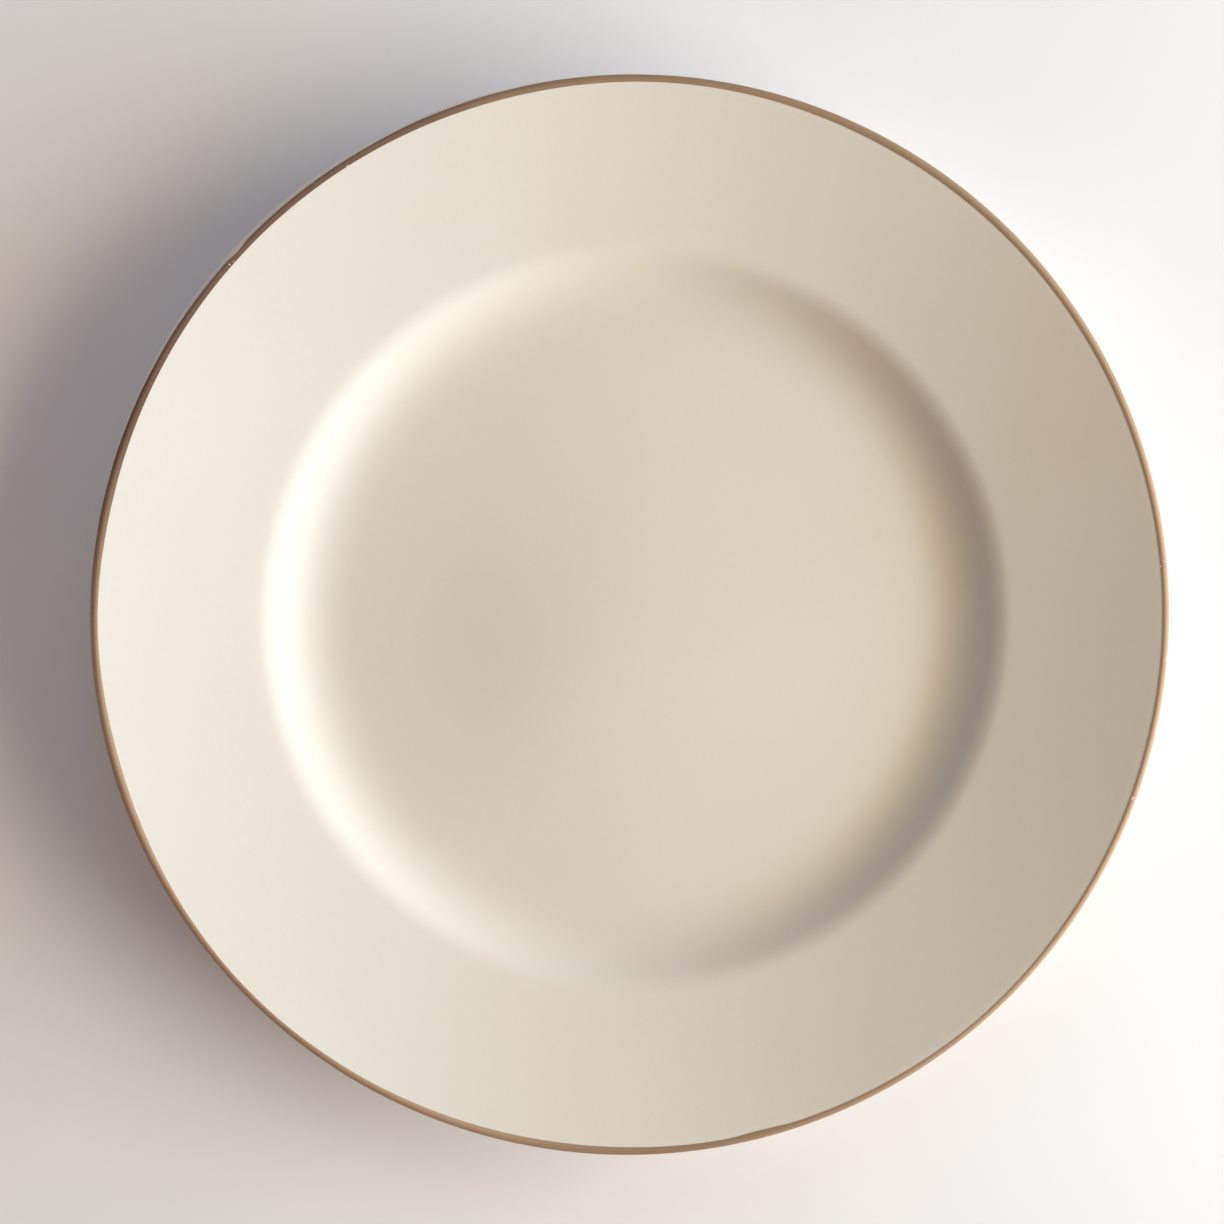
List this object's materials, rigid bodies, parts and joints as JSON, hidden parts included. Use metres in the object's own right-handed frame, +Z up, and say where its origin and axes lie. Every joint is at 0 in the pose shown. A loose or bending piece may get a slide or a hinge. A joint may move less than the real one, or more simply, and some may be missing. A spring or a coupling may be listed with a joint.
{
  "type": "dinner plate",
  "caption": "Round china dinner plate with a broad sloping rim, a rounded shoulder, a shallow well with a faintly crowned floor, a foot ring and a gilt line on the lip.",
  "frame": {"origin": "the middle of the foot ring's edge, on the plate's axis, in the plane of the table that the plate stands on", "axes": "+Z up along the plate's axis, out of the well; +X and +Y lie in the table's plane and are interchangeable, because the plate is round"},
  "size_m": [0.267, 0.267, 0.0225],
  "materials": {
    "biscuit_clay": "matte",
    "ivory_glaze": "gloss",
    "fired_gold": "satin"
  },
  "bodies": {
    "root": {"clay_body": "biscuit_clay", "outer_glaze": "ivory_glaze", "recess_glaze": "ivory_glaze", "gilt_line": "fired_gold"}
  },
  "joints": []
}
